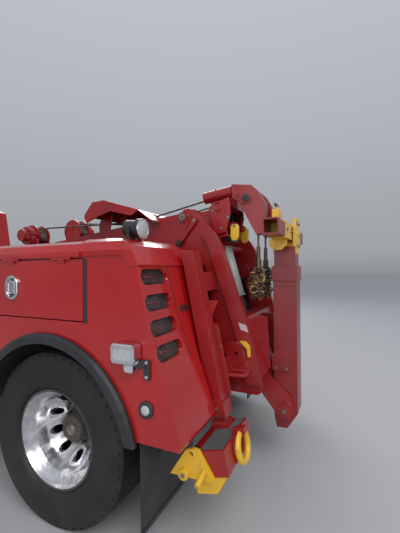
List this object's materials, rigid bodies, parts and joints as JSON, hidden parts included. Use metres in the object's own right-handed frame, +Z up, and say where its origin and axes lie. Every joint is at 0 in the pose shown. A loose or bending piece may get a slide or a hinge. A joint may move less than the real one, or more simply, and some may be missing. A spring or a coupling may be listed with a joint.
{
  "type": "tow truck with recovery boom and underlift",
  "caption": "Bonneted tow truck with a hydraulic recovery boom, folded underlift, stabiliser legs, tool lockers and twin rear wheels",
  "frame": {"origin": "centre of the bounding box on the floor", "axes": "+X forward, +Y to the left, +Z up"},
  "size_m": [7.617, 2.602, 2.7099],
  "materials": {
    "red_paint": "gloss",
    "maroon_paint": "satin",
    "black_paint": "satin",
    "tyre_rubber": "matt",
    "black_rubber": "satin",
    "bright_rim": "polished",
    "clear_glass": "clear",
    "bright_trim": "polished",
    "lamp_lens": "gloss",
    "amber_lens": "gloss",
    "trim_plastic": "matt",
    "cast_dark": "matt",
    "rope_steel": "worn",
    "rod_steel": "polished"
  },
  "bodies": {
    "chassis": {"frame_rails": "black_paint", "engine_block": "cast_dark", "front_axle": "cast_dark", "rear_axle": "cast_dark", "front_bumper": "bright_trim", "cab_shell": "red_paint", "cab_glass": "clear_glass", "cab_interior": "trim_plastic", "side_tanks": "bright_rim", "light_bar": "amber_lens", "tool_body": "red_paint", "flares_and_flaps": "black_rubber", "rear_lamps": "lamp_lens", "tower": "red_paint"},
    "bonnet_shell": {"bonnet": "red_paint", "grille": "bright_trim", "headlamps": "clear_glass"},
    "cab_door_left_leaf": {"cab_door_left": "red_paint", "door_glass_left": "clear_glass"},
    "cab_door_right_leaf": {"cab_door_right": "red_paint", "door_glass_right": "clear_glass"},
    "upper_tool_door_left_leaf": {"upper_tool_door_left": "red_paint"},
    "upper_tool_door_right_leaf": {"upper_tool_door_right": "red_paint"},
    "tall_tool_door_left_leaf": {"tall_tool_door_left": "red_paint"},
    "tall_tool_door_right_leaf": {"tall_tool_door_right": "red_paint"},
    "front_tool_door_left_leaf": {"front_tool_door_left": "red_paint"},
    "front_tool_door_right_leaf": {"front_tool_door_right": "red_paint"},
    "knuckle_left_body": {"knuckle_left": "cast_dark"},
    "knuckle_right_body": {"knuckle_right": "cast_dark"},
    "wheel_front_left": {"tyre_front_left": "tyre_rubber", "rim_front_left": "bright_rim"},
    "wheel_front_right": {"tyre_front_right": "tyre_rubber", "rim_front_right": "bright_rim"},
    "wheels_rear_left": {"tyres_rear_left": "tyre_rubber", "rims_rear_left": "bright_rim"},
    "wheels_rear_right": {"tyres_rear_right": "tyre_rubber", "rims_rear_right": "bright_rim"},
    "boom_body": {"boom": "red_paint", "winches": "red_paint", "winch_ropes": "rope_steel"},
    "rope_head_left_body": {"rope_head_left": "red_paint"},
    "rope_head_right_body": {"rope_head_right": "red_paint"},
    "lift_barrel_body": {"lift_barrels": "black_paint"},
    "lift_rod_body": {"lift_rods": "rod_steel"},
    "carriage_body": {"underlift_carriage": "red_paint"},
    "arm_body": {"underlift_arm": "maroon_paint"},
    "stage_body": {"underlift_stage": "maroon_paint"},
    "crossbar_body": {"crossbar": "maroon_paint"},
    "leg_left_body": {"stabiliser_foot_left": "red_paint"},
    "leg_right_body": {"stabiliser_foot_right": "red_paint"}
  },
  "joints": [
    {"name": "steer_left", "type": "hinge", "parent": "chassis", "child": "knuckle_left_body", "pos_m": [2.8585, 0.86, 0.5], "axis": [0, 0, 1], "range_deg": [-35, 35]},
    {"name": "steer_right", "type": "hinge", "parent": "chassis", "child": "knuckle_right_body", "pos_m": [2.8585, -0.86, 0.5], "axis": [0, 0, 1], "range_deg": [-35, 35]},
    {"name": "spin_front_left", "type": "hinge", "parent": "knuckle_left_body", "child": "wheel_front_left", "pos_m": [2.8585, 1.015, 0.52], "axis": [0, 1, 0], "continuous": true},
    {"name": "spin_front_right", "type": "hinge", "parent": "knuckle_right_body", "child": "wheel_front_right", "pos_m": [2.8585, -1.015, 0.52], "axis": [0, 1, 0], "continuous": true},
    {"name": "spin_rear_left", "type": "hinge", "parent": "chassis", "child": "wheels_rear_left", "pos_m": [-2.5415, 0.916, 0.52], "axis": [0, 1, 0], "continuous": true},
    {"name": "spin_rear_right", "type": "hinge", "parent": "chassis", "child": "wheels_rear_right", "pos_m": [-2.5415, -0.916, 0.52], "axis": [0, 1, 0], "continuous": true},
    {"name": "bonnet_tilt", "type": "hinge", "parent": "chassis", "child": "bonnet_shell", "pos_m": [3.6635, 0, 0.79], "axis": [0, 1, 0], "range_deg": [0, 70]},
    {"name": "cab_door_left_hinge", "type": "hinge", "parent": "chassis", "child": "cab_door_left_leaf", "pos_m": [2.2945, 1.044, 1.5], "axis": [0, 0, -1], "range_deg": [0, 65]},
    {"name": "upper_tool_door_left_hinge", "type": "hinge", "parent": "chassis", "child": "upper_tool_door_left_leaf", "pos_m": [-2.2315, 1.243, 1.601], "axis": [1, 0, 0], "range_deg": [0, 85]},
    {"name": "tall_tool_door_left_hinge", "type": "hinge", "parent": "chassis", "child": "tall_tool_door_left_leaf", "pos_m": [-0.4125, 1.243, 1.17], "axis": [0, 0, -1], "range_deg": [0, 110]},
    {"name": "front_tool_door_left_hinge", "type": "hinge", "parent": "chassis", "child": "front_tool_door_left_leaf", "pos_m": [0.7975, 1.243, 1.17], "axis": [0, 0, -1], "range_deg": [0, 110]},
    {"name": "cab_door_right_hinge", "type": "hinge", "parent": "chassis", "child": "cab_door_right_leaf", "pos_m": [2.2945, -1.044, 1.5], "axis": [0, 0, 1], "range_deg": [0, 65]},
    {"name": "upper_tool_door_right_hinge", "type": "hinge", "parent": "chassis", "child": "upper_tool_door_right_leaf", "pos_m": [-2.2315, -1.243, 1.601], "axis": [-1, 0, 0], "range_deg": [0, 85]},
    {"name": "tall_tool_door_right_hinge", "type": "hinge", "parent": "chassis", "child": "tall_tool_door_right_leaf", "pos_m": [-0.4125, -1.243, 1.17], "axis": [0, 0, 1], "range_deg": [0, 110]},
    {"name": "front_tool_door_right_hinge", "type": "hinge", "parent": "chassis", "child": "front_tool_door_right_leaf", "pos_m": [0.7975, -1.243, 1.17], "axis": [0, 0, 1], "range_deg": [0, 110]},
    {"name": "boom_lift", "type": "hinge", "parent": "chassis", "child": "boom_body", "pos_m": [-0.69152, 0, 1.59295], "axis": [0, 1, 0], "range_deg": [0, 45]},
    {"name": "lift_barrel_swing", "type": "hinge", "parent": "chassis", "child": "lift_barrel_body", "pos_m": [-1.41152, 0, 1.03995], "axis": [0, 1, 0], "range_deg": [0, 43.06]},
    {"name": "lift_rod_slide", "type": "slide", "parent": "lift_barrel_body", "child": "lift_rod_body", "axis": [-0.8235, 0, 0.5673], "range_m": [0, 0.69407]},
    {"name": "rope_head_left_swivel", "type": "hinge", "parent": "boom_body", "child": "rope_head_left_body", "pos_m": [-3.1925, 0.118, 2.1335], "axis": [0.9908, 0, -0.1351], "range_deg": [0, 60]},
    {"name": "rope_head_right_swivel", "type": "hinge", "parent": "boom_body", "child": "rope_head_right_body", "pos_m": [-3.1925, -0.118, 2.1335], "axis": [-0.9908, 0, 0.1351], "range_deg": [0, 60]},
    {"name": "underlift_lower", "type": "slide", "parent": "chassis", "child": "carriage_body", "axis": [-0.2689, 0, -0.9632], "range_m": [0, 0.22]},
    {"name": "underlift_fold", "type": "hinge", "parent": "carriage_body", "child": "arm_body", "pos_m": [-3.713, 0, 0.47], "axis": [0, -1, 0], "range_deg": [0, 95]},
    {"name": "underlift_extend", "type": "slide", "parent": "arm_body", "child": "stage_body", "axis": [0, 0, 1], "range_m": [0, 0.85]},
    {"name": "crossbar_swivel", "type": "hinge", "parent": "stage_body", "child": "crossbar_body", "pos_m": [-3.713, 0, 1.8], "axis": [1, 0, 0], "range_deg": [-20, 20]},
    {"name": "leg_left_slide", "type": "slide", "parent": "chassis", "child": "leg_left_body", "axis": [-0.1959, 0, -0.9806], "range_m": [0, 0.34]},
    {"name": "leg_right_slide", "type": "slide", "parent": "chassis", "child": "leg_right_body", "axis": [-0.1959, 0, -0.9806], "range_m": [0, 0.34]}
  ],
  "couplings": [
    {"joint": "steer_right", "follows": "steer_left", "ratio": 1},
    {"joint": "lift_barrel_swing", "follows": "boom_lift", "ratio": 0.95667},
    {"joint": "lift_rod_slide", "follows": "boom_lift", "m_per_rad": 0.88308}
  ]
}
